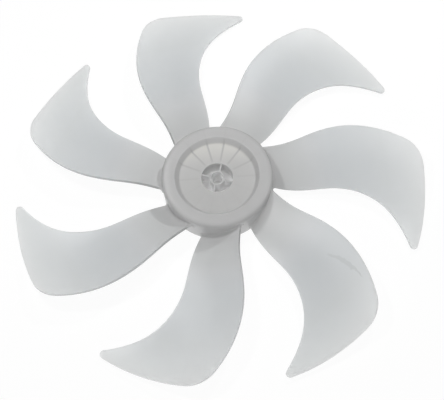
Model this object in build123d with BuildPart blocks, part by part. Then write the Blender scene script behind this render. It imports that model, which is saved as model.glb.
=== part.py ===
from build123d import *

import os
from math import cos, radians, sin, sqrt

os.makedirs("parts", exist_ok=True)

# A fan propeller moulded in one piece. Millimetres, shaft axis on Z, front face up.
# The rear rim of the hub and the rear end of the boss lie on Z = 0.

# Blade sweep
BLADE_COUNT = 7
SWEEP_RADIUS = 186.5

# Hub shell: a cup that opens to the rear, with a dished recess in its front.
# Ribs, webs and blades reach into its walls by the overlap.
HUB_RADIUS = 50.0
HUB_DEPTH = 29.0
HUB_WALL = 2.2
JOIN_OVERLAP = 0.6
FRONT_EDGE_ROUND = 3.6
RECESS_RADIUS = 38.0
RECESS_DEPTH = 6.0
RECESS_LEAN = 3.7
RECESS_EDGE_BEVEL = 0.6
DISH_CROWN = 0.7

# Well round the boss, cored out from the front and closed at its rear
WELL_RADIUS = 14.2
WELL_DEPTH = 15.0
WELL_FLOOR = 2.5

# Boss for the motor shaft, counterbored at its front to a thin lip
SHAFT_DIAMETER = 8.0
SHAFT_CLEARANCE = 0.1
BOSS_RADIUS = 6.9
BOSS_SETBACK = 0.6
BOSS_LIP = 1.2
COUNTERBORE_DEPTH = 6.0
PIN_SLOT_WIDTH = 3.4
PIN_SLOT_DEPTH = 4.5

# Webs from the boss to the wall of the well
WEB_COUNT = 4
WEB_THICKNESS = 1.0
WEB_SETBACK = 1.2
WEB_START = 72.0

# Stiffening ribs behind the dish, two to a blade
RIBS_PER_BLADE = 2
RIB_THICKNESS = 1.5
RIB_START = -0.2
RIB_REAR_AT_WELL = 9.5
RIB_REAR_AT_RIM = 13.5

# Plan of one blade that points along +X: share of the span from the hub out, and sweep angle
LEADING_EDGE = ((-0.03, -5.2), (0.15, -8.1), (0.4, -6.4), (0.6, -8.6), (0.75, -13.0), (0.9, -20.1), (1.0, -25.6))
TRAILING_EDGE = ((-0.03, 36.9), (0.15, 25.7), (0.3, 23.5), (0.5, 20.9), (0.75, 14.7), (1.0, 5.8))
TIP_ROUND = 3.6
CORNER_ROUND = 29.0

# Sections of that blade, root to tip: height and pitch angle on the blade's X axis, and camber radius
SECTIONS = (
    (7.4, 23.7, 157.0),
    (8.9, 16.5, 164.0),
    (11.9, 10.7, 167.0),
    (12.8, 11.0, 269.0),
    (13.2, 15.6, 232.0),
)
ROOT_THICKNESS = 2.6
TIP_THICKNESS = 1.6
BLANK_MARGIN = 1.5

# Values that follow from the sizes above
span = SWEEP_RADIUS - HUB_RADIUS
bore_radius = (SHAFT_DIAMETER + SHAFT_CLEARANCE) / 2
counterbore_radius = BOSS_RADIUS - BOSS_LIP
floor_radius = RECESS_RADIUS - RECESS_LEAN
floor_height = HUB_DEPTH - RECESS_DEPTH
dish_height = floor_height + DISH_CROWN
boss_height = dish_height - BOSS_SETBACK
bore_height = boss_height - COUNTERBORE_DEPTH
well_height = dish_height - WELL_DEPTH
join_depth = HUB_WALL - JOIN_OVERLAP


def cone_radius(height, behind):
    """Radius of the recess's leaning wall at a height, measured a distance behind its front surface."""
    lean = RECESS_LEAN / RECESS_DEPTH
    return floor_radius + (height - floor_height) * lean + behind * sqrt(1 + lean * lean)


def plan_point(share, angle):
    """Point of the blade's plan from its share of the span and its sweep angle."""
    radius = HUB_RADIUS + share * span
    return (radius * cos(radians(angle)), radius * sin(radians(angle)))


def section_point(across, height, pitch, camber_radius):
    """Point of a blade section: an arc that rises at the pitch angle where it crosses the X axis."""
    centre = -camber_radius * sin(radians(pitch))
    top = height + camber_radius * cos(radians(pitch))
    return (across, top - sqrt(camber_radius**2 - (across - centre) ** 2))


leading_points = [plan_point(share, angle) for share, angle in LEADING_EDGE]
trailing_points = [plan_point(share, angle) for share, angle in TRAILING_EDGE]
tip_angle = LEADING_EDGE[-1][1]
corner_angle = TRAILING_EDGE[-1][1]
outer_middle = plan_point(1.0, (tip_angle + corner_angle) / 2)

# Hub shell, well and boss, turned from one profile
with BuildPart() as hub:
    with BuildSketch(Plane.XZ) as profile:
        with BuildLine():
            Polyline(
                (HUB_RADIUS, 0),
                (HUB_RADIUS, HUB_DEPTH),
                (RECESS_RADIUS, HUB_DEPTH),
                (floor_radius, floor_height),
                (WELL_RADIUS, dish_height),
                (WELL_RADIUS, well_height),
                (BOSS_RADIUS, well_height),
                (BOSS_RADIUS, boss_height),
                (counterbore_radius, boss_height),
                (counterbore_radius, bore_height),
                (bore_radius, bore_height),
                (bore_radius, 0),
                (BOSS_RADIUS, 0),
                (BOSS_RADIUS, well_height - WELL_FLOOR),
                (WELL_RADIUS + HUB_WALL, well_height - WELL_FLOOR),
                (WELL_RADIUS + HUB_WALL, dish_height - HUB_WALL),
                (cone_radius(floor_height - HUB_WALL, HUB_WALL), floor_height - HUB_WALL),
                (cone_radius(HUB_DEPTH - HUB_WALL, HUB_WALL), HUB_DEPTH - HUB_WALL),
                (HUB_RADIUS - HUB_WALL, HUB_DEPTH - HUB_WALL),
                (HUB_RADIUS - HUB_WALL, 0),
                close=True,
            )
        make_face()
        fillet(profile.vertices().sort_by_distance((HUB_RADIUS, HUB_DEPTH))[0], FRONT_EDGE_ROUND)
        chamfer(profile.vertices().sort_by_distance((RECESS_RADIUS, HUB_DEPTH))[0], RECESS_EDGE_BEVEL)
    revolve(axis=Axis.Z)
    with BuildSketch(Plane.XY):
        Rectangle(2 * BOSS_RADIUS, PIN_SLOT_WIDTH)
    extrude(amount=PIN_SLOT_DEPTH, mode=Mode.SUBTRACT)

# One rib, along +X, set into the walls that it joins
with BuildPart() as rib:
    with BuildSketch(Plane.XZ):
        with BuildLine():
            Polyline(
                (WELL_RADIUS + join_depth, RIB_REAR_AT_WELL),
                (HUB_RADIUS - join_depth, RIB_REAR_AT_RIM),
                (HUB_RADIUS - join_depth, HUB_DEPTH - join_depth),
                (cone_radius(HUB_DEPTH - join_depth, join_depth), HUB_DEPTH - join_depth),
                (cone_radius(floor_height - join_depth, join_depth), floor_height - join_depth),
                (WELL_RADIUS + join_depth, dish_height - join_depth),
                close=True,
            )
        make_face()
    extrude(amount=RIB_THICKNESS / 2, both=True)

# One web, along +X, set into the boss's lip and into the wall of the well
web_root = BOSS_RADIUS - BOSS_LIP / 2
with BuildPart() as web:
    with BuildSketch(Plane.XZ):
        with BuildLine():
            Polyline(
                (web_root, well_height - WELL_FLOOR / 2),
                (WELL_RADIUS + join_depth, well_height - WELL_FLOOR / 2),
                (WELL_RADIUS + join_depth, dish_height - HUB_WALL),
                (WELL_RADIUS, dish_height - WEB_SETBACK),
                (web_root, dish_height - WEB_SETBACK),
                close=True,
            )
        make_face()
    extrude(amount=WEB_THICKNESS / 2, both=True)

# Plan of one blade as a tall prism, with its tip and its outer corner rounded
with BuildPart() as plan:
    with BuildSketch():
        with BuildLine():
            Spline(leading_points)
            ThreePointArc(leading_points[-1], outer_middle, trailing_points[-1])
            Spline(trailing_points)
            Line(leading_points[0], trailing_points[0])
        make_face()
    extrude(amount=2 * HUB_DEPTH)
    uprights = plan.edges().filter_by(Axis.Z)
    fillet(uprights.sort_by_distance((*leading_points[-1], HUB_DEPTH))[0], TIP_ROUND)
    uprights = plan.edges().filter_by(Axis.Z)
    fillet(uprights.sort_by_distance((*trailing_points[-1], HUB_DEPTH))[0], CORNER_ROUND)

# One blade: a cambered, twisted plate lofted through the sections and cut to the plan
root_station = trailing_points[0][0] - BLANK_MARGIN
tip_station = SWEEP_RADIUS + BLANK_MARGIN
near_side = min(y for x, y in leading_points) - BLANK_MARGIN
far_side = max(y for x, y in trailing_points) + BLANK_MARGIN
with BuildPart() as blade:
    for index, (height, pitch, camber_radius) in enumerate(SECTIONS):
        share = index / (len(SECTIONS) - 1)
        station = root_station + share * (tip_station - root_station)
        half = (ROOT_THICKNESS + share * (TIP_THICKNESS - ROOT_THICKNESS)) / 2
        ends = (near_side, (near_side + far_side) / 2, far_side)
        front = [section_point(y, height + half, pitch, camber_radius) for y in ends]
        back = [section_point(y, height - half, pitch, camber_radius) for y in ends]
        with BuildSketch(Plane((station, 0, 0), x_dir=(0, 1, 0), z_dir=(1, 0, 0))):
            with BuildLine():
                ThreePointArc(*front)
                Line(front[2], back[2])
                ThreePointArc(*back)
                Line(back[0], front[0])
            make_face()
    loft()
    add(plan.part, mode=Mode.INTERSECT)
    Cylinder(HUB_RADIUS - join_depth, 3 * HUB_DEPTH, mode=Mode.SUBTRACT)

with BuildPart() as propeller:
    add(hub.part)
    with PolarLocations(0, BLADE_COUNT * RIBS_PER_BLADE, start_angle=RIB_START):
        add(rib.part)
    with PolarLocations(0, WEB_COUNT, start_angle=WEB_START):
        add(web.part)
    with PolarLocations(0, BLADE_COUNT):
        add(blade.part)

propeller.part.label = "propeller"
export_step(propeller.part, "parts/propeller.step")
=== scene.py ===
from functools import partial
from math import acos, cos, hypot, pi, radians, sin, sqrt, tau

import bmesh
import bpy
import numpy as np
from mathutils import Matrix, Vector


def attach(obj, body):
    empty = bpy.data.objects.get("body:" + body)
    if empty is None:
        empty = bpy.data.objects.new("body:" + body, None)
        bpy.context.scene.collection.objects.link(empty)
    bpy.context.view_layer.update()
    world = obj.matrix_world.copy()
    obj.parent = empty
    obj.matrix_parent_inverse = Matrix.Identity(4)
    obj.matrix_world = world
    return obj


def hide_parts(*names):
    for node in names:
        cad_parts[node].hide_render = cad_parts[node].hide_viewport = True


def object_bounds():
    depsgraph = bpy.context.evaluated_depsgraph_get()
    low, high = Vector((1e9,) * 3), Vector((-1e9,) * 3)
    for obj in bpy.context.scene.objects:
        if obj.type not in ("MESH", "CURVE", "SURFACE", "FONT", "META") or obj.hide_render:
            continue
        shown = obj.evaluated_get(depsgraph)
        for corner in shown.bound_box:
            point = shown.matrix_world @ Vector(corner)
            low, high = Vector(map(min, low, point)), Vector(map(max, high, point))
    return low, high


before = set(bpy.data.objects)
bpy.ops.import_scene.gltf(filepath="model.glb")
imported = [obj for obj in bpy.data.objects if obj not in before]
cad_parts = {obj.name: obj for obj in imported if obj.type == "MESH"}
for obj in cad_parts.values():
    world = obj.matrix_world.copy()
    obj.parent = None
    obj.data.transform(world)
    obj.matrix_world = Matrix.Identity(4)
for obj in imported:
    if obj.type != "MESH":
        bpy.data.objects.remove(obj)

bl_info = {
    "name": "Fan Propeller",
    "version": (1, 0, 0),
    "blender": (4, 5, 0),
    "location": "View3D > Sidebar > Propeller",
    "description": "Models a seven-blade fan propeller moulded in one piece of translucent plastic",
    "category": "Add Mesh",
}

cad_low, cad_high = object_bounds()

MM = 0.001
CAD_NODE = "propeller"
MOULDING = "moulded_propeller"
HUB, RIBS, WEBS, BLADES = "hub_shell", "dish_ribs", "well_webs", "swept_blades"

# In metres: corners closer than the first are one, and the clean-up merges vertices closer than the second
SAME_PLACE, CLEAN_UP = 1e-6, 2e-6

# A place off to one side, in metres, from which hardly any two vertices are equally far
SORTING_PLACE = (0.313, 0.171, 0.097)

# Plan of the blade that points along +X: share of the span from the hub out, and sweep angle in degrees
LEADING_EDGE = (
    (-0.03, -5.2), (0.15, -8.1), (0.4, -6.4), (0.6, -8.6), (0.75, -13.0), (0.9, -20.1), (1.0, -25.6),
)
TRAILING_EDGE = ((-0.03, 36.9), (0.15, 25.7), (0.3, 23.5), (0.5, 20.9), (0.75, 14.7), (1.0, 5.8))

# Sections across that blade, root to tip: height in mm, pitch in degrees on its X axis, camber radius in mm
SECTIONS = (
    (7.4, 23.7, 157.0),
    (8.9, 16.5, 164.0),
    (11.9, 10.7, 167.0),
    (12.8, 11.0, 269.0),
    (13.2, 15.6, 232.0),
)

# Shade by radius in mm: the hub greyer and warmer, the blades paler and cooler towards their tips. Partly
# painted
# light and shade: the paler tips stand in for light through the thin plastic, the darker recess wall and
# outer flange edge are painted shade, and the slightly lighter blade roots offset the shade beside the hub.
DISH_SHADES = ((0.0, "#d1d1d0"), (33.4, "#d1d1d0"), (35.2, "#cdcdcd"), (37.4, "#cdcdcd"))
FLANGE_SHADES = (
    (38.6, "#d0d0d0"), (45.5, "#d0d0d0"), (47.5, "#c7c7c7"), (49.2, "#bebebe"), (49.9, "#c1c1c1"),
)
BLADE_SHADES = (
    (50.3, "#cccccc"), (53.0, "#cfcfcf"), (57.0, "#cacbcb"), (72.0, "#cacccc"), (85.0, "#c6c8c9"),
    (98.0, "#c0c3c5"), (110.0, "#bfc3c5"), (122.0, "#c1c5c7"), (137.0, "#c4c8ca"), (152.0, "#c9cdce"),
    (166.0, "#d2d6d7"), (178.0, "#dbdfdf"), (186.0, "#e2e5e5"),
)
SHADES = DISH_SHADES + FLANGE_SHADES + BLADE_SHADES

# A mask's values at the two ends of its range, and the setting that carries it smoothly between them
RISE, FALL = (0.0, 1.0), (1.0, 0.0)
SMOOTH = {"interpolation_type": "SMOOTHSTEP"}

# Width of the camera's frame in mm
SENSOR_WIDTH = 36.0


def linear(hex_colour):
    """An sRGB hex colour as linear red, green, blue and alpha."""
    parts = [int(hex_colour[i : i + 2], 16) / 255 for i in (1, 3, 5)]
    return (*(c / 12.92 if c <= 0.04045 else ((c + 0.055) / 1.055) ** 2.4 for c in parts), 1.0)


def length(name, description, default_mm):
    """A size property in metres, with its default given in millimetres."""
    return bpy.props.FloatProperty(
        name=name, description=description, default=default_mm * MM, min=0.0, unit="LENGTH", precision=4
    )


def position(name, description, default):
    """A property for a place in metres."""
    return bpy.props.FloatVectorProperty(
        name=name, description=description, default=default, subtype="TRANSLATION", unit="LENGTH", precision=4
    )


def turn(name, description, default_deg):
    """An angle property, with its default given in degrees."""
    return bpy.props.FloatProperty(
        name=name, description=description, default=radians(default_deg), subtype="ANGLE"
    )


def turns(name, description, *defaults_deg):
    """A property for several angles, with their defaults given in degrees."""
    return bpy.props.FloatVectorProperty(
        name=name, description=description, default=[radians(angle) for angle in defaults_deg],
        size=len(defaults_deg), unit="ROTATION",
    )


def number(name, description, default, least):
    """A property for a number of things."""
    return bpy.props.IntProperty(name=name, description=description, default=default, min=least)


def amount(name, description, default):
    """A property for a plain amount that is never negative."""
    return bpy.props.FloatProperty(name=name, description=description, default=default, min=0.0)


def fraction(name, description, default):
    """A property that runs from none to all."""
    return bpy.props.FloatProperty(
        name=name, description=description, default=default, min=0.0, max=1.0, subtype="FACTOR"
    )


def tint(name, description, hex_colour):
    """A colour property, with its default given as an sRGB hex value."""
    return bpy.props.FloatVectorProperty(
        name=name, description=description, default=linear(hex_colour),
        size=4, min=0.0, max=1.0, subtype="COLOR",
    )


class PropellerHub(bpy.types.PropertyGroup):
    """Sizes of the hub shell, its recess, its well and the boss on the motor shaft."""

    radius: length("Radius", "Outside radius of the hub", 50.0)
    depth: length("Depth", "Hub depth from its rear rim to its front flange", cad_high.z / MM)
    wall: length("Wall", "Wall of the hub shell", 2.2)
    front_round: length("Front round", "Rounding of the hub's front edge", 3.6)
    recess_radius: length("Recess radius", "Radius of the recess at the flange", 38.0)
    recess_depth: length("Recess depth", "Depth of the recess below the flange", 6.0)
    recess_lean: length("Recess lean", "How far the recess wall leans in on its way down", 3.7)
    recess_round: length("Recess round", "Rounding where the flange turns into the recess", 0.6)
    foot_round: length("Foot round", "Rounding at the foot of the recess wall", 1.2)
    dish_crown: length("Dish crown", "Rise of the recess floor towards the well", 0.7)
    well_radius: length("Well radius", "Radius of the well round the boss", 14.2)
    well_depth: length("Well depth", "Depth of the well below the dish", 15.0)
    well_floor: length("Well floor", "Thickness of the floor of the well", 2.5)
    boss_radius: length("Boss radius", "Outside radius of the shaft boss", 6.9)
    boss_setback: length("Boss setback", "How far the boss stops below the dish", 0.6)
    bore_radius: length("Bore radius", "Radius of the shaft bore", 4.05)
    boss_lip: length("Boss lip", "Wall of the boss round its front counterbore", 1.2)
    counterbore: length("Counterbore", "Depth of the counterbore at the front of the boss", 6.0)
    slot_width: length("Pin slot width", "Width of the slot for the shaft's cross pin", 3.4)
    slot_depth: length("Pin slot depth", "Depth of the slot for the shaft's cross pin", 4.5)
    edge_round: length("Edge round", "Small rounding on the moulded edges", 0.45)
    overlap: length("Overlap", "How far ribs, webs and blades reach into the walls", 0.6)
    steps: number("Steps", "Steps round the hub", 210, least=28)


class PropellerRibs(bpy.types.PropertyGroup):
    """Sizes of the stiffening ribs behind the dish and of the webs in the well."""

    per_blade: number("Ribs per blade", "Ribs behind the dish to each blade", 2, least=1)
    thickness: length("Rib thickness", "Thickness of a rib", 1.5)
    start: turn("Rib start", "Angle of the first rib", -0.2)
    rear_at_well: length("Rear at well", "Height of a rib's rear edge at the well", 9.5)
    rear_at_rim: length("Rear at rim", "Height of a rib's rear edge at the rim", 13.5)
    webs: number("Webs", "Webs between the boss and the well", 4, least=1)
    web_thickness: length("Web thickness", "Thickness of a web", 1.0)
    web_setback: length("Web setback", "How far a web stops below the dish", 1.2)
    web_start: turn("Web start", "Angle of the first web", 72.0)
    edge_round: length("Edge round", "Rounding on the free edges of ribs and webs", 0.35)


class PropellerBlades(bpy.types.PropertyGroup):
    """Sizes of the blades."""

    count: number("Blades", "Number of blades", 7, least=2)
    sweep_radius: length("Sweep radius", "Radius that the blade tips sweep", cad_high.x / MM)
    root_thickness: length("Root thickness", "Blade thickness at the hub", 2.6)
    tip_thickness: length("Tip thickness", "Blade thickness at the tip", 1.6)
    tip_round: length("Tip round", "Plan rounding of the hooked tip", 3.6)
    corner_round: length("Corner round", "Plan rounding of the outer corner", 29.0)
    root_fillet: length("Root fillet", "Fillet where a blade leaves the hub", 2.0)
    rim_round: length("Rim round", "Rounding along the blade's edges", 0.62)
    across: number("Across", "Faces across a blade", 30, least=6)
    along: number("Along", "Faces along a blade before its rounded end", 46, least=6)


class PropellerPlastic(bpy.types.PropertyGroup):
    """Colours and finish of the plastic, apart from its shade by radius; several of them are painted light
    and shade.
    """

    # Painted highlight on the top edges of the webs and the boss
    painted_highlight_web_tops: tint("Web tops", "Top edges of the webs and the boss", "#d8d8d8")
    # Painted light: the well's deep walls are painted paler, palest at the floor
    painted_light_well_foot: tint("Well foot", "Walls of the well at its floor", "#ffffff")
    painted_light_well_top: tint("Well top", "Walls of the well near the dish", "#dcdcdc")
    # Painted light inside the boss's lip, paler than the dish
    counterbore: tint("Counterbore", "Inside of the boss's lip", "#eaeaea")
    # Painted shade of the ribs behind the dish
    painted_rib_shade: tint("Rib line", "Lines where the ribs show through the dish", "#a9a8a6")
    # Painted light on the far side of the dish
    painted_dish_glow: tint("Dish glow", "Far side of the dish, lit through the hub's wall", "#e9e8e2")
    # Painted shade along the blades' edges
    painted_edge_shade: tint("Blade rim", "Thin line along the blades' edges", "#8e9090")
    # A darker wavy line on one blade's front, and where it lies
    dark_wavy_line: tint("Scuff", "Scuff on one blade", "#b6babb")
    dark_wavy_line_place: position("Scuff place", "Where the scuff starts", (0.0896, -0.0786, 0.0))
    dark_wavy_line_turn: turn("Scuff turn", "Which way the scuff runs, from +X", -36.6)
    dish_haze: fraction("Dish haze", "Share of the light that spreads inside the dish", 0.5)
    well_haze: fraction("Well haze", "Share of the light that spreads inside the walls of the well", 0.9)
    root_haze: fraction("Root haze", "Share of the light that spreads inside the thick blade roots", 0.3)
    blade_haze: fraction("Blade haze", "Share of the light that spreads inside the thin blades", 0.85)
    spread: length("Spread", "How far light spreads inside the plastic", 14.0)
    least_roughness: fraction("Least roughness", "Roughness where the moulding is smoothest", 0.20)
    most_roughness: fraction("Most roughness", "Roughness where the moulding is dullest", 0.26)
    refraction: amount("Refraction", "Index of refraction of polypropylene", 1.49)


class PropellerStage(bpy.types.PropertyGroup):
    """Camera, light and floor."""

    camera_place: position("Camera place", "Where the camera stands", (0.018698, -0.334002, 0.744630))
    camera_turn: bpy.props.FloatVectorProperty(
        name="Camera turn", description="How the camera is turned",
        default=(radians(23.279), radians(2.5495), radians(-3.0458)), subtype="EULER",
    )
    lens: amount("Lens", "Focal length in mm on a 36 mm wide frame", 71.903)
    top_level: amount("Top level", "Light from the softbox overhead", 1.06)
    top_focus: amount("Top focus", "How narrow the softbox overhead is", 8.0)
    front_level: amount("Front level", "Light from the softbox in front", 2.5)
    front_focus: amount("Front focus", "How narrow the softbox in front is", 12.0)
    front_azimuth: turn("Front azimuth", "Compass angle of the softbox in front, from +X", -90.0)
    front_elevation: turn("Front elevation", "Height angle of the softbox in front", 13.0)
    lamp_level: bpy.props.FloatProperty(
        name="Lamp level", description="Power of each lamp at the back", default=0.88, unit="POWER"
    )
    lamp_azimuths: turns("Lamp azimuths", "Compass angles of the lamps at the back, from +X", 50.0, 155.0)
    lamp_elevations: turns("Lamp elevations", "Height angles of the lamps at the back", 50.0, 64.0)
    lamp_distance: length("Lamp distance", "How far the lamps at the back stand from the hub", 600.0)
    lamp_size: length("Lamp size", "Width of a lamp at the back", 30.0)
    panel_glow: amount("Panel glow", "What a panel's reflection adds, as a share of the white room", 2.5)
    panel_azimuths: turns("Panel azimuths", "Compass angles of the panels, from +X", 134.0, 202.0, 10.0)
    panel_elevations: turns("Panel elevations", "Height angles of the panels", 59.0, 57.0, 46.0)
    panel_distance: length("Panel distance", "How far the panels stand from the hub", 1200.0)
    panel_size: length("Panel size", "Width of a panel", 480.0)
    table_size: length("Table size", "Width of the table", 12000.0)
    table_tint: tint("Table tint", "Colour of the table top", "#f4f4f4")
    table_glow: amount("Table glow", "Light that comes up through the table", 0.35)
    floor_shadow: fraction("Floor shadow", "Share of the lit table that the camera sees", 0.1)


def only(piece):
    """Makes one object the whole selection, so that an operator acts on nothing else."""
    bpy.ops.object.select_all(action="DESELECT")
    piece.select_set(True)
    bpy.context.view_layer.objects.active = piece


def pick(piece, wanted):
    """Goes into edit mode with the vertices selected whose place passes the test, and all between them."""
    only(piece)
    bpy.ops.object.mode_set(mode="EDIT")
    bpy.ops.mesh.select_mode(type="VERT")
    bpy.ops.mesh.select_all(action="DESELECT")
    bpy.ops.object.mode_set(mode="OBJECT")
    chosen = [wanted(vertex.co) for vertex in piece.data.vertices]
    if not any(chosen):
        raise RuntimeError(f"nothing to select on {piece.name}")
    piece.data.vertices.foreach_set("select", chosen)
    bpy.ops.object.mode_set(mode="EDIT")


def near(place):
    """A test for pick: whether a vertex stands at a place."""
    return lambda co: (co - Vector(place)).length < SAME_PLACE


def draw(name, corners):
    """A flat filled outline: a disc with one vertex to a corner, each vertex moved to its corner."""
    bpy.ops.object.select_all(action="DESELECT")
    bpy.ops.mesh.primitive_circle_add(vertices=len(corners), fill_type="NGON")
    piece = bpy.context.object
    piece.name = name
    for vertex, corner in zip(piece.data.vertices, corners):
        vertex.co = corner
    return piece


def plate(name, corners, thickness, free_edge, edge_round):
    """An upright plate on the XZ plane: its outline is drawn and pulled out, and its free edge rounded."""
    piece = draw(name, [(x, -thickness / 2, z) for x, z in corners])
    only(piece)
    bpy.ops.object.mode_set(mode="EDIT")
    bpy.ops.mesh.select_all(action="SELECT")
    bpy.ops.mesh.extrude_region_move(TRANSFORM_OT_translate={"value": (0, thickness, 0)})
    bpy.ops.mesh.select_all(action="SELECT")
    bpy.ops.mesh.normals_make_consistent(inside=False)
    bpy.ops.object.mode_set(mode="OBJECT")
    ends = [corners[index] for index in free_edge]
    pick(piece, lambda co: any(hypot(co.x - x, co.z - z) < SAME_PLACE for x, z in ends))
    bpy.ops.mesh.bevel(offset=edge_round, segments=3, affect="EDGES")
    bpy.ops.object.mode_set(mode="OBJECT")
    return piece


def ring(piece, count, start):
    """Copies a piece round the shaft, each copy with its own mesh, and joins the copies."""
    copies = [piece]
    for _ in range(1, count):
        only(piece)
        bpy.ops.object.duplicate(linked=False)
        copies.append(bpy.context.object)
    for index, copy in enumerate(copies):
        copy.rotation_euler.z = start + tau * index / count
    for copy in copies:
        copy.select_set(True)
    bpy.context.view_layer.objects.active = piece
    bpy.ops.object.transform_apply(location=True, rotation=True, scale=True)
    bpy.ops.object.join()


def combine(piece, other, operation):
    """Adds another closed shape to a piece, or cuts it away, and deletes the other."""
    modifier = piece.modifiers.new("combine", "BOOLEAN")
    modifier.operation = operation
    modifier.solver = "EXACT"
    modifier.object = other
    only(piece)
    bpy.ops.object.modifier_apply(modifier=modifier.name)
    bpy.data.objects.remove(other)


def recess_wall(hub, height, behind):
    """Radius of the recess's leaning wall at a height, measured a distance behind its front surface."""
    lean = hub.recess_lean / hub.recess_depth
    floor_height = hub.depth - hub.recess_depth
    floor_radius = hub.recess_radius - hub.recess_lean
    return floor_radius + (height - floor_height) * lean + behind * sqrt(1 + lean * lean)


class PROPELLER_OT_hub(bpy.types.Operator):
    """Turns the hub shell with its recess, well and boss from one profile, and cuts the pin slot"""

    bl_idname = "propeller.hub"
    bl_label = "Model Hub"

    def execute(self, context):
        hub = context.scene.propeller_hub
        floor = hub.depth - hub.recess_depth
        dish = floor + hub.dish_crown
        boss_top = dish - hub.boss_setback
        well = dish - hub.well_depth
        under_well = well - hub.well_floor
        well_back = hub.well_radius + hub.wall
        inside = hub.radius - hub.wall
        edge = hub.edge_round

        # Corners of the profile, from the outside in: radius, height and tangent length of their rounding;
        # plain points along the tall walls keep the faces there short
        outer_steps, inner_steps = 8, 6
        outer_wall = [(hub.radius, hub.depth * step / outer_steps, 0) for step in range(1, outer_steps - 1)]
        inner_wall = [(inside, hub.depth * step / inner_steps, 0) for step in range(inner_steps - 1, 0, -1)]
        profile = [
            (hub.radius, 0, edge),
            *outer_wall,
            (hub.radius, hub.depth, hub.front_round),
            (hub.recess_radius, hub.depth, hub.recess_round),
            (hub.recess_radius - hub.recess_lean, floor, hub.foot_round),
            (hub.well_radius, dish, edge),
            (hub.well_radius, well, 2 * edge),
            (hub.boss_radius, well, 2 * edge),
            (hub.boss_radius, boss_top, edge / 2),
            (hub.boss_radius - hub.boss_lip, boss_top, edge / 2),
            (hub.boss_radius - hub.boss_lip, boss_top - hub.counterbore, edge / 2),
            (hub.bore_radius, boss_top - hub.counterbore, edge / 2),
            (hub.bore_radius, 0, edge),
            (hub.boss_radius, 0, edge),
            (hub.boss_radius, under_well, 2 * edge),
            (well_back, under_well, 2 * edge),
            (well_back, dish - hub.wall, 2 * edge),
            (recess_wall(hub, floor - hub.wall, hub.wall), floor - hub.wall, 2 * edge),
            (recess_wall(hub, hub.depth - hub.wall, hub.wall), hub.depth - hub.wall, 2 * edge),
            (inside, hub.depth - hub.wall, 3 * edge),
            *inner_wall,
            (inside, 0, edge),
        ]
        shell = draw(HUB, [(radius, 0, height) for radius, height, rounding in profile])
        for radius, height, rounding in profile:
            if rounding:
                pick(shell, near((radius, 0, height)))
                bpy.ops.mesh.bevel(offset=rounding, segments=5, affect="VERTICES")
                bpy.ops.object.mode_set(mode="OBJECT")

        only(shell)
        bpy.ops.object.mode_set(mode="EDIT")
        bpy.ops.mesh.select_all(action="SELECT")
        bpy.ops.mesh.delete(type="ONLY_FACE")
        bpy.ops.mesh.select_all(action="SELECT")
        bpy.ops.mesh.spin(steps=hub.steps, angle=tau, center=(0, 0, 0), axis=(0, 0, 1))
        bpy.ops.mesh.select_all(action="SELECT")
        bpy.ops.mesh.remove_doubles(threshold=SAME_PLACE)
        bpy.ops.mesh.normals_make_consistent(inside=False)
        bpy.ops.object.mode_set(mode="OBJECT")

        bpy.ops.object.select_all(action="DESELECT")
        bpy.ops.mesh.primitive_cube_add(size=1)
        slot = bpy.context.object
        slot.name = "pin_slot"
        slot.scale = (2 * hub.boss_radius, hub.slot_width, 2 * hub.slot_depth)
        bpy.ops.object.transform_apply(scale=True)
        pick(slot, lambda co: co.z > 0)
        bpy.ops.mesh.bevel(offset=edge, segments=3, affect="EDGES")
        bpy.ops.object.mode_set(mode="OBJECT")
        combine(shell, slot, "DIFFERENCE")
        return {"FINISHED"}


class PROPELLER_OT_ribs(bpy.types.Operator):
    """Models one rib behind the dish and copies it round the shaft"""

    bl_idname = "propeller.ribs"
    bl_label = "Model Ribs"

    def execute(self, context):
        scene = context.scene
        hub, ribs, blades = scene.propeller_hub, scene.propeller_ribs, scene.propeller_blades
        join = hub.wall - hub.overlap
        floor = hub.depth - hub.recess_depth
        corners = [
            (hub.well_radius + join, ribs.rear_at_well),
            (hub.radius - join, ribs.rear_at_rim),
            (hub.radius - join, hub.depth - join),
            (recess_wall(hub, hub.depth - join, join), hub.depth - join),
            (recess_wall(hub, floor - join, join), floor - join),
            (hub.well_radius + join, floor + hub.dish_crown - join),
        ]
        rib = plate(RIBS, corners, ribs.thickness, (0, 1), ribs.edge_round)
        ring(rib, ribs.per_blade * blades.count, ribs.start)
        return {"FINISHED"}


class PROPELLER_OT_webs(bpy.types.Operator):
    """Models one web between the boss and the well and copies it round the shaft"""

    bl_idname = "propeller.webs"
    bl_label = "Model Webs"

    def execute(self, context):
        hub, ribs = context.scene.propeller_hub, context.scene.propeller_ribs
        dish = hub.depth - hub.recess_depth + hub.dish_crown
        foot = dish - hub.well_depth - hub.well_floor / 2
        start = hub.boss_radius - hub.boss_lip / 2
        join = hub.wall - hub.overlap
        corners = [
            (start, dish - ribs.web_setback),
            (hub.well_radius + join, dish - ribs.web_setback),
            (hub.well_radius + join, foot),
            (start, foot),
        ]
        web_round = 0.8 * ribs.edge_round
        web = plate(WEBS, corners, ribs.web_thickness, (0, 1), web_round)
        ring(web, ribs.webs, ribs.web_start)
        return {"FINISHED"}


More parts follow.
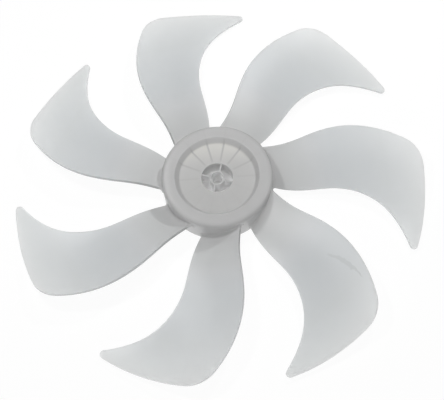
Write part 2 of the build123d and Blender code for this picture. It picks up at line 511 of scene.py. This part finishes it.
class EdgeLine:
    """A blade edge as sweep angle over radius: a smooth line through the plan's points."""

    def __init__(self, points, blades, hub_radius):
        span = blades.sweep_radius - hub_radius
        self.x = np.array([hub_radius + share * span for share, angle in points])
        self.y = np.array([radians(angle) for share, angle in points])
        step = np.diff(self.x)
        count = len(points)
        system = np.zeros((count, count))
        right = np.zeros(count)
        # Second derivatives of a cubic spline whose end pieces each share one cubic with their neighbour
        system[0, :3] = (step[1], -(step[0] + step[1]), step[0])
        system[-1, -3:] = (step[-1], -(step[-2] + step[-1]), step[-2])
        for i in range(1, count - 1):
            system[i, i - 1 : i + 2] = (step[i - 1], 2 * (step[i - 1] + step[i]), step[i])
            right[i] = 6 * ((self.y[i + 1] - self.y[i]) / step[i] - (self.y[i] - self.y[i - 1]) / step[i - 1])
        self.bend = np.linalg.solve(system, right)

    def __call__(self, radius):
        """Sweep angle of the edge at a radius."""
        i = int(np.clip(np.searchsorted(self.x, radius) - 1, 0, len(self.x) - 2))
        step = self.x[i + 1] - self.x[i]
        a, b = (self.x[i + 1] - radius) / step, (radius - self.x[i]) / step
        bow = ((a**3 - a) * self.bend[i] + (b**3 - b) * self.bend[i + 1]) * step * step / 6
        return float(a * self.y[i] + b * self.y[i + 1] + bow)

    def point(self, radius):
        """Place of the edge at a radius."""
        return np.array((radius * cos(self(radius)), radius * sin(self(radius))))


def rounded_end(edge, side, rounding, sweep_radius):
    """Rounds an edge into the tip circle: gives the radius where that starts and the angle over radius.

    The rounding is a circle that touches the tip circle from inside and the edge; side is +1 where the blade
    lies at larger angles than the edge, -1 where it lies at smaller ones."""
    ring_radius = sweep_radius - rounding
    # How far back along the edge, and how far in from it, the circle is looked for
    back, inwards = 4 * rounding, 3.5 * rounding
    samples, halvings = 400, 40

    def gap(angle):
        """Space between the edge and the circle with its centre at an angle, and the radius of the place."""
        centre = ring_radius * np.array((cos(angle), sin(angle)))
        radii = np.linspace(sweep_radius - back, sweep_radius, samples)
        line = np.array([edge.point(radius) for radius in radii])
        away = np.hypot(*(line - centre).T)
        return away.min() - rounding, radii[away.argmin()]

    # The circle's centre is moved in from the edge until it stands one rounding away from it
    low, high = edge(ring_radius), edge(ring_radius) + side * inwards / ring_radius
    for _ in range(halvings):
        middle = (low + high) / 2
        if gap(middle)[0] < 0:
            low = middle
        else:
            high = middle
    centre_angle = (low + high) / 2
    touch = gap(centre_angle)[1]

    def angle_at(radius):
        """Angle of the rounding at a radius."""
        cosine = (radius**2 + ring_radius**2 - rounding**2) / (2 * radius * ring_radius)
        return centre_angle - side * acos(min(1.0, max(-1.0, cosine)))

    return touch, angle_at


def blade_height(x, y, stations):
    """Height of the blade's middle surface: its section arcs, carried smoothly from station to station."""
    total = 0.0
    for i, (height, pitch, camber) in enumerate(SECTIONS):
        slope = radians(pitch)
        arc = height + camber * cos(slope) - sqrt(camber**2 - (y / MM + camber * sin(slope)) ** 2)
        weight = 1.0
        for j, other in enumerate(stations):
            if j != i:
                weight *= (x - other) / (stations[i] - other)
        total += weight * arc * MM
    return total


class PROPELLER_OT_blades(bpy.types.Operator):
    """Shapes one swept, twisted and cambered blade from a grid and copies it round the shaft"""

    bl_idname = "propeller.blades"
    bl_label = "Model Blades"

    def execute(self, context):
        hub, blades = context.scene.propeller_hub, context.scene.propeller_blades
        tip, fillet = blades.sweep_radius, blades.root_fillet
        leading = EdgeLine(LEADING_EDGE, blades, hub.radius)
        trailing = EdgeLine(TRAILING_EDGE, blades, hub.radius)
        hook_from, hook = rounded_end(leading, 1, blades.tip_round, tip)
        corner_from, corner = rounded_end(trailing, -1, blades.corner_round, tip)
        margin = 1.5 * MM
        end_length, end_rows = 12.0 * MM, 16
        fillet_angles = (75, 60, 45, 30, 15, 0)
        last = len(SECTIONS) - 1
        root_x = trailing.x[0] * cos(trailing.y[0]) - margin
        stations = [root_x + (tip + margin - root_x) * i / last for i in range(len(SECTIONS))]

        # Rows of the grid from inside the hub's wall out: the root fillet, the plain span and the rounded end
        rows = [hub.radius - hub.wall + hub.overlap]
        rows += [hub.radius + fillet * (1 - sin(radians(angle))) for angle in fillet_angles]
        inner, outer = rows[-1], tip - end_length
        rows += [inner + (outer - inner) * i / blades.along for i in range(1, blades.along + 1)]
        rows += [tip - (tip - outer) * (1 - sin(pi / 2 * i / end_rows)) for i in range(1, end_rows + 1)]

        bpy.ops.object.select_all(action="DESELECT")
        bpy.ops.mesh.primitive_grid_add(x_subdivisions=len(rows) - 1, y_subdivisions=blades.across, size=1)
        blade = bpy.context.object
        blade.name = BLADES
        thick = blade.vertex_groups.new(name="thickness")
        most = blades.root_thickness + 2 * fillet
        for vertex in blade.data.vertices:
            row = round((vertex.co.x + 0.5) * (len(rows) - 1))
            across = vertex.co.y + 0.5
            radius = rows[row]
            low = leading(radius) if radius < hook_from else hook(radius)
            high = trailing(radius) if radius < corner_from else corner(radius)
            # The fillet makes the blade wider and thicker towards the hub
            reach = min(1.0, max(0.0, 1 - (radius - hub.radius) / fillet))
            flare = fillet * (1 - sqrt(1 - min(reach, sin(radians(fillet_angles[0]))) ** 2))
            low -= flare / radius
            high += flare / radius
            angle = low + across * (high - low)
            x, y = radius * cos(angle), radius * sin(angle)
            vertex.co = (x, y, blade_height(x, y, stations))
            share = (x - root_x) / (tip + margin - root_x)
            wall = blades.root_thickness + share * (blades.tip_thickness - blades.root_thickness) + 2 * flare
            thick.add([vertex.index], wall / most, "REPLACE")

        skin = blade.modifiers.new("skin", "SOLIDIFY")
        skin.thickness = most
        skin.offset = 0
        skin.use_even_offset = True
        skin.vertex_group = "thickness"
        rim = blade.modifiers.new("rim", "BEVEL")
        rim.width = blades.rim_round
        rim.segments = 3
        rim.limit_method = "ANGLE"
        rim.angle_limit = radians(50)
        only(blade)
        bpy.ops.object.modifier_apply(modifier="skin")
        bpy.ops.object.modifier_apply(modifier="rim")
        ring(blade, blades.count, 0)
        return {"FINISHED"}


class PROPELLER_OT_moulding(bpy.types.Operator):
    """Makes hub, ribs, webs and blades one closed moulding and gives it its plastic"""

    bl_idname = "propeller.moulding"
    bl_label = "Unite Moulding"

    def execute(self, context):
        scene = context.scene
        moulding = bpy.data.objects[HUB]
        for name in (RIBS, WEBS, BLADES):
            combine(moulding, bpy.data.objects[name], "UNION")
        moulding.name = MOULDING
        only(moulding)
        bpy.ops.object.mode_set(mode="EDIT")
        bpy.ops.mesh.select_all(action="SELECT")
        bpy.ops.mesh.remove_doubles(threshold=CLEAN_UP)
        # Sorted by distance from one place, so that the clean-up goes in the same order on each run
        scene.cursor.location = SORTING_PLACE
        bpy.ops.mesh.sort_elements(type="CURSOR_DISTANCE", elements={"VERT", "EDGE", "FACE"})
        scene.cursor.location = (0, 0, 0)
        bpy.ops.mesh.dissolve_degenerate(threshold=CLEAN_UP)
        bpy.ops.mesh.normals_make_consistent(inside=False)
        bpy.ops.object.mode_set(mode="OBJECT")
        shape = bmesh.new()
        shape.from_mesh(moulding.data)
        open_edges = sum(not edge.is_manifold for edge in shape.edges)
        shape.free()
        if open_edges:
            raise RuntimeError(f"the moulding isn't closed: {open_edges} open edges")
        bpy.ops.object.shade_smooth_by_angle(angle=radians(32))
        moulding.data.materials.clear()
        sizes = scene.propeller_hub, scene.propeller_ribs, scene.propeller_blades
        moulding.data.materials.append(moulded_polypropylene(*sizes, scene.propeller_plastic))
        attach(moulding, "root")
        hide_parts(CAD_NODE)
        return {"FINISHED"}


def add_node(tree, kind, inputs=(), **settings):
    """Adds a shader node, sets its fields, and sets or links its inputs, which come in order or by name.

    A node that is given as an input is linked by its first output in use."""
    node = tree.nodes.new("ShaderNode" + kind)
    for field, value in settings.items():
        setattr(node, field, value)
    for socket, source in inputs.items() if isinstance(inputs, dict) else enumerate(inputs):
        if isinstance(source, bpy.types.Node):
            source = next(output for output in source.outputs if output.enabled)
        if isinstance(source, bpy.types.NodeSocket):
            tree.links.new(source, node.inputs[socket])
        else:
            node.inputs[socket].default_value = source
    return node


def shade_and_painted_light_by_radius(add, radius, sweep_radius):
    """The plastic's shade by radius, from the middle of the hub out to the blade tips, partly painted light
    and shade.
    """
    ramp = add("ValToRGB", (add("Math", (radius, sweep_radius), operation="DIVIDE"),))
    stops = ramp.color_ramp.elements
    while len(stops) < len(SHADES):
        stops.new(1.0)
    for stop, (where, shade) in zip(stops, SHADES):
        stop.position = where * MM / sweep_radius
        stop.color = linear(shade)
    return ramp


def well_painted_light(add, colour, radius, height, hub, plastic):
    """Painted light in the well: the top edges of the webs and boss are a painted highlight, and the well's
    deep walls are painted paler, palest at the floor, in place of the light they pass on to one another.

    Gives the colour with both, and a mask of what lies deep in the well."""
    dish_height = hub.depth - hub.recess_depth + hub.dish_crown
    floor_height = dish_height - hub.well_depth
    lip = hub.boss_radius - hub.boss_lip
    well_edge = (hub.well_radius + 0.1 * MM, hub.well_radius + 0.5 * MM)
    floor_edge = (floor_height - 1.0 * MM, floor_height - 0.2 * MM)
    below_tops = (dish_height - 2.4 * MM, dish_height - 1.6 * MM)
    wall_rise = (floor_height, dish_height - 3.0 * MM)
    lip_edge = (lip, lip + 0.4 * MM)

    within = add("MapRange", (radius, *well_edge, *FALL), **SMOOTH)
    above_floor = add("MapRange", (height, *floor_edge, *RISE), **SMOOTH)
    in_well = add("Math", (within, above_floor), operation="MULTIPLY")
    colour = add("Mix", {0: in_well, 6: colour, 7: plastic.painted_highlight_web_tops}, data_type="RGBA")

    risen = add("MapRange", (height, *wall_rise, *RISE), **SMOOTH)
    walls = add("Mix", {0: risen, 6: plastic.painted_light_well_foot, 7: plastic.painted_light_well_top}, data_type="RGBA")
    in_lip = add("MapRange", (radius, *lip_edge, *FALL), **SMOOTH)
    walls = add("Mix", {0: in_lip, 6: walls, 7: plastic.counterbore}, data_type="RGBA")
    sunk = add("MapRange", (height, *below_tops, *FALL), **SMOOTH)
    deep = add("Math", (in_well, sunk), operation="MULTIPLY")
    return add("Mix", {0: deep, 6: colour, 7: walls}, data_type="RGBA"), deep


def painted_rib_shade_mask(add, flat, radius, far, hub, ribs, blades):
    """Painted shade of the ribs behind the dish: soft darker lines by the distance to the nearest rib's
    middle plane.

    They are painted clearest on the dish's far side, where light comes through the hub's wall, and fade on
    the flange and towards the well."""
    count = ribs.per_blade * blades.count
    first = (ribs.start / tau + 0.5) * count
    line_edge = (0.2 * MM, 1.5 * MM)
    fades = (
        (radius, hub.well_radius, hub.well_radius + 4 * MM, *RISE),
        (radius, hub.recess_radius - hub.recess_lean, hub.recess_radius, 1.0, 0.14),
        (radius, hub.radius - 4 * MM, hub.radius - 2 * MM, *FALL),
        (far, -12 * MM, 28 * MM, 0.10, 1.0),
    )
    # Counted in steps from rib to rib, with each rib in the middle of a step
    turned = add("TexGradient", (flat,), gradient_type="RADIAL").outputs["Fac"]
    steps = add("Math", (turned, float(count), 0.5 - first), operation="MULTIPLY_ADD")
    step = add("Math", (steps,), operation="FRACT")
    offset = add("Math", (step, 0.5), operation="SUBTRACT")
    offset = add("Math", (offset,), operation="ABSOLUTE")
    angle = add("Math", (offset, tau / count), operation="MULTIPLY")
    away = add("Math", (angle, radius), operation="MULTIPLY")
    line = add("MapRange", (away, *line_edge, *FALL), **SMOOTH)
    for fade in fades:
        line = add("Math", (line, add("MapRange", fade, **SMOOTH)), operation="MULTIPLY")
    return line


def dark_wavy_line_mask(add, spot, facing, plastic):
    """A darker mark on one blade's front: a thin wavy line that bows to one side, placed and turned on it."""
    crest, bow_length, bow_depth, shift = 15.5 * MM, 21.5 * MM, 3.4 * MM, 0.9 * MM
    widest, thinnest, taper = 2.9 * MM, 1.1 * MM, 20.0 * MM
    waver_size, waver_depth = 6.0 * MM, 5.0 * MM
    start, end = (-1.0 * MM, 3.0 * MM), (33.0 * MM, 38.0 * MM)
    soft_edge, front = (0.4, 1.0), (0.3, 0.6)

    turned = add(
        "Mapping",
        {"Vector": spot, "Location": plastic.dark_wavy_line_place, "Rotation": (0.0, 0.0, plastic.dark_wavy_line_turn)},
        vector_type="TEXTURE",
    )
    along, across = add("SeparateXYZ", (turned,)).outputs[:2]
    past_crest = add("Math", (along, crest), operation="SUBTRACT")
    bow = add("Math", (past_crest, bow_length), operation="DIVIDE")
    bow = add("Math", (bow, 2.0), operation="POWER")
    bow = add("Math", (bow, -bow_depth, shift), operation="MULTIPLY_ADD")
    waver = add("TexNoise", {"Vector": spot, "Scale": 1 / waver_size, "Detail": 2.0}).outputs["Fac"]
    middle = add("Math", (waver, waver_depth, bow), operation="MULTIPLY_ADD")
    aside = add("Math", (across, middle), operation="SUBTRACT")
    aside = add("Math", (aside,), operation="ABSOLUTE")
    from_crest = add("Math", (past_crest,), operation="ABSOLUTE")
    width = add("MapRange", (from_crest, 0.0, taper, widest, thinnest), **SMOOTH)
    line = add("Math", (aside, width), operation="DIVIDE")
    line = add("MapRange", (line, *soft_edge, *FALL), **SMOOTH)
    for limit in ((along, *start, *RISE), (along, *end, *FALL), (facing, *front, *RISE)):
        line = add("Math", (line, add("MapRange", limit, **SMOOTH)), operation="MULTIPLY")
    return line


def moulded_polypropylene(hub, ribs, blades, plastic):
    """Natural polypropylene, moulded with a soft sheen.

    Milky and a little see-through: light enters and spreads, so thin tips look lighter than the hub. The
    colour also
    holds painted light and shade: paler tips, faint darker lines of painted rib shade, a painted glow on the
    dish's far side, painted light in the well and painted shade along the blades' edges."""
    material = bpy.data.materials.new("moulded_polypropylene")
    material.use_nodes = True
    material.node_tree.nodes.clear()
    add = partial(add_node, material.node_tree)
    coordinates = add("TexCoord").outputs
    spot = coordinates["Object"]
    right, far, height = add("SeparateXYZ", (spot,)).outputs
    facing = add("SeparateXYZ", (coordinates["Normal"],)).outputs["Z"]
    flat = add("CombineXYZ", (right, far))
    radius = add("VectorMath", (flat,), operation="LENGTH")
    dish_edge = hub.recess_radius - hub.recess_lean

    colour = shade_and_painted_light_by_radius(add, radius, blades.sweep_radius)
    # Painted light in the well
    colour, deep = well_painted_light(add, colour, radius, height, hub, plastic)
    line = painted_rib_shade_mask(add, flat, radius, far, hub, ribs, blades)

    # Painted light: the far side of the dish, between the ribs, is painted paler and warmer, as light coming
    # through the hub's wall behind it would make it
    glow = add("MapRange", (far, 8 * MM, 34 * MM, *RISE), **SMOOTH)
    on_dish = add("MapRange", (radius, dish_edge - 0.5 * MM, dish_edge + 1.0 * MM, *FALL), **SMOOTH)
    between_ribs = add("Math", (1.0, line), operation="SUBTRACT")
    for factor in (on_dish, between_ribs):
        glow = add("Math", (glow, factor), operation="MULTIPLY")

    # Painted shade: along the blades' edges, where the surface turns sideways, the colour is painted darker
    # as a thin line
    steep = (0.4, 0.8)
    flatness = add("Math", (facing,), operation="ABSOLUTE")
    rim = add("MapRange", (flatness, *steep, *FALL), **SMOOTH)
    past_hub = add("MapRange", (radius, hub.radius + 2 * MM, hub.radius + 5 * MM, *RISE), **SMOOTH)
    rim = add("Math", (rim, past_hub), operation="MULTIPLY")

    # A darker wavy line on one blade's front
    dark_wavy_line = dark_wavy_line_mask(add, spot, facing, plastic)
    # Mixes in the painted rib shade, the painted dish light, the painted edge shade and the darker wavy line
    for mask, strength, shade in (
        (line, 0.4, plastic.painted_rib_shade),
        (glow, 0.8, plastic.painted_dish_glow),
        (rim, 0.7, plastic.painted_edge_shade),
        (dark_wavy_line, 0.8, plastic.dark_wavy_line),
    ):
        factor = add("Math", (mask, strength), operation="MULTIPLY")
        colour = add("Mix", {0: factor, 6: colour, 7: shade}, data_type="RGBA")

    # Faint clouds in tone and in sheen, where the melt met and cooled
    cloud_size, cloud_strength, cloud_range = 45 * MM, 0.06, (0.3, 0.7)
    cloud = add("TexNoise", {"Vector": spot, "Scale": 1 / cloud_size, "Detail": 3.0, "Roughness": 0.55})
    cloud = cloud.outputs["Fac"]
    colour = add("Mix", {0: cloud_strength, 6: colour, 7: cloud}, data_type="RGBA", blend_type="SOFT_LIGHT")
    sheen = (plastic.least_roughness, plastic.most_roughness)
    roughness = add("MapRange", (cloud, *cloud_range, *sheen), **SMOOTH)

    # The thick root lets less light through than the thin blade
    thinning = (hub.radius + 8 * MM, hub.radius + 50 * MM)
    haze = add("MapRange", (radius, *thinning, plastic.root_haze, plastic.blade_haze), **SMOOTH)
    flange = (hub.recess_radius, hub.radius)
    dish_haze = add("MapRange", (radius, *flange, plastic.dish_haze, plastic.root_haze), **SMOOTH)
    well_haze = add("Math", (deep, plastic.well_haze), operation="MULTIPLY")
    for other in (dish_haze, well_haze):
        haze = add("Math", (haze, other), operation="MAXIMUM")

    # Satin of the mould, in fact about 0.1 mm fine and drawn coarser to stay clear of flicker
    grain_size, grain_depth = 0.8 * MM, 0.05 * MM
    grain = add("TexNoise", {"Vector": spot, "Scale": 1 / grain_size, "Detail": 2.0, "Roughness": 0.5})
    relief = add("Bump", {"Strength": 0.06, "Distance": grain_depth, "Height": grain.outputs["Fac"]})
    surface = add(
        "BsdfPrincipled",
        {
            "Base Color": colour,
            "Roughness": roughness,
            "Normal": relief,
            "IOR": plastic.refraction,
            "Subsurface Weight": haze,
            "Subsurface Radius": (1.0, 1.0, 1.0),
            "Subsurface Scale": plastic.spread,
        },
    )
    add("OutputMaterial", {"Surface": surface})
    return material


def seen_directly(add):
    """1 for rays that show a surface to the camera, straight, mirrored or through glass, and 0 for others."""
    path = add("LightPath").outputs
    seen = add("Math", (path["Is Camera Ray"], path["Is Glossy Ray"]), operation="MAXIMUM")
    return add("Math", (seen, path["Is Transmission Ray"]), operation="MAXIMUM")


def opal_acrylic(stage):
    """Opal acrylic, a table top lit from below.

    Pure white to the camera, with a share of its own lit surface so that the shadow stays, and it sends some
    light up into the plastic."""
    material = bpy.data.materials.new("opal_acrylic")
    material.use_nodes = True
    material.node_tree.nodes.clear()
    add = partial(add_node, material.node_tree)
    surface = add("BsdfDiffuse", {"Color": stage.table_tint})
    glow = add("Emission", {"Color": linear("#ffffff"), "Strength": stage.table_glow})
    lit = add("AddShader", (surface, glow))
    white = add("Emission", {"Color": linear("#ffffff"), "Strength": 1.0})
    share_seen = add("Math", (seen_directly(add), 1 - stage.floor_shadow), operation="MULTIPLY")
    add("OutputMaterial", {"Surface": add("MixShader", (share_seen, lit, white))})
    return material


def direction(azimuth, elevation):
    """Unit vector towards a compass angle from +X and a height angle."""
    flat = cos(elevation)
    return Vector((flat * cos(azimuth), flat * sin(azimuth), sin(elevation)))


def white_room(stage):
    """A room that is white to the camera and lights the part from two soft patches, overhead and in front."""
    world = bpy.data.worlds.new("white_room")
    world.use_nodes = True
    world.node_tree.nodes.clear()
    add = partial(add_node, world.node_tree)
    towards_sky = add("TexCoord").outputs["Generated"]
    front = direction(stage.front_azimuth, stage.front_elevation)
    light = 0.0
    for towards, focus, strength in (
        (Vector((0, 0, 1)), stage.top_focus, stage.top_level),
        (front, stage.front_focus, stage.front_level),
    ):
        softbox = add("VectorMath", (towards_sky, towards), operation="DOT_PRODUCT")
        softbox = add("Math", (softbox, 0.0), operation="MAXIMUM")
        softbox = add("Math", (softbox, focus), operation="POWER")
        light = add("Math", (softbox, strength, light), operation="MULTIPLY_ADD")
    strength = add("Mix", {0: seen_directly(add), 2: light, 3: 1.0}, data_type="FLOAT")
    room = add("Background", {"Color": linear("#ffffff"), "Strength": strength})
    add("OutputWorld", {"Surface": room})
    return world


def round_lamp(name, azimuth, elevation, distance, size, power):
    """A round area lamp that stands off in a direction and faces the hub."""
    towards = direction(azimuth, elevation)
    turned = towards.to_track_quat("Z", "Y").to_euler()
    bpy.ops.object.light_add(type="AREA", location=towards * distance, rotation=turned)
    lamp = bpy.context.object
    lamp.name = name
    lamp.data.shape = "DISK"
    lamp.data.size = size
    lamp.data.energy = power
    return lamp


class PROPELLER_OT_stage(bpy.types.Operator):
    """Sets the lit table, the white room, the lamps at the back, the mirrored panels and the camera"""

    bl_idname = "propeller.stage"
    bl_label = "Set Stage"

    def execute(self, context):
        scene = context.scene
        stage = scene.propeller_stage
        scene.view_settings.view_transform = "Standard"
        scene.world = white_room(stage)

        bpy.ops.object.select_all(action="DESELECT")
        bpy.ops.mesh.primitive_plane_add(size=stage.table_size, location=(0, 0, 0))
        floor = bpy.context.object
        floor.name = "studio_table"
        floor.data.materials.append(opal_acrylic(stage))

        # The lamps light the plastic and aren't mirrored in it
        stand = (stage.lamp_distance, stage.lamp_size, stage.lamp_level)
        for azimuth, elevation in zip(stage.lamp_azimuths, stage.lamp_elevations):
            lamp = round_lamp("back_lamp", azimuth, elevation, *stand)
            lamp.visible_glossy = False

        # The panels only show as soft sheen; a lamp's power is its brightness times pi times its area
        area = pi * stage.panel_size**2 / 4
        stand = (stage.panel_distance, stage.panel_size, stage.panel_glow * pi * area)
        for azimuth, elevation in zip(stage.panel_azimuths, stage.panel_elevations):
            panel = round_lamp("side_panel", azimuth, elevation, *stand)
            panel.visible_diffuse = False

        bpy.ops.object.camera_add(location=stage.camera_place, rotation=stage.camera_turn)
        camera = bpy.context.object
        camera.data.sensor_width = SENSOR_WIDTH
        camera.data.lens = stage.lens
        scene.camera = camera
        return {"FINISHED"}


class PROPELLER_PT_sidebar(bpy.types.Panel):
    """Lists the sizes and the steps of the propeller"""

    bl_idname = "PROPELLER_PT_sidebar"
    bl_label = "Fan Propeller"
    bl_space_type = "VIEW_3D"
    bl_region_type = "UI"
    bl_category = "Propeller"

    def draw(self, context):
        for part in GROUPS:
            box = self.layout.box()
            settings = getattr(context.scene, part)
            for name in settings.bl_rna.properties.keys():
                if name not in ("rna_type", "name"):
                    box.prop(settings, name)
        for step in STEPS:
            self.layout.operator(step.bl_idname)


GROUPS = {
    "propeller_hub": PropellerHub,
    "propeller_ribs": PropellerRibs,
    "propeller_blades": PropellerBlades,
    "propeller_plastic": PropellerPlastic,
    "propeller_stage": PropellerStage,
}
STEPS = (
    PROPELLER_OT_hub,
    PROPELLER_OT_ribs,
    PROPELLER_OT_webs,
    PROPELLER_OT_blades,
    PROPELLER_OT_moulding,
    PROPELLER_OT_stage,
)


def register():
    for kind in (*GROUPS.values(), *STEPS, PROPELLER_PT_sidebar):
        bpy.utils.register_class(kind)
    for name, group in GROUPS.items():
        setattr(bpy.types.Scene, name, bpy.props.PointerProperty(type=group))


def unregister():
    for name in GROUPS:
        delattr(bpy.types.Scene, name)
    for kind in (PROPELLER_PT_sidebar, *reversed(STEPS), *GROUPS.values()):
        bpy.utils.unregister_class(kind)


def main():
    register()
    bpy.ops.propeller.hub()
    bpy.ops.propeller.ribs()
    bpy.ops.propeller.webs()
    bpy.ops.propeller.blades()
    bpy.ops.propeller.moulding()
    bpy.ops.propeller.stage()


if __name__ == "__main__":
    main()
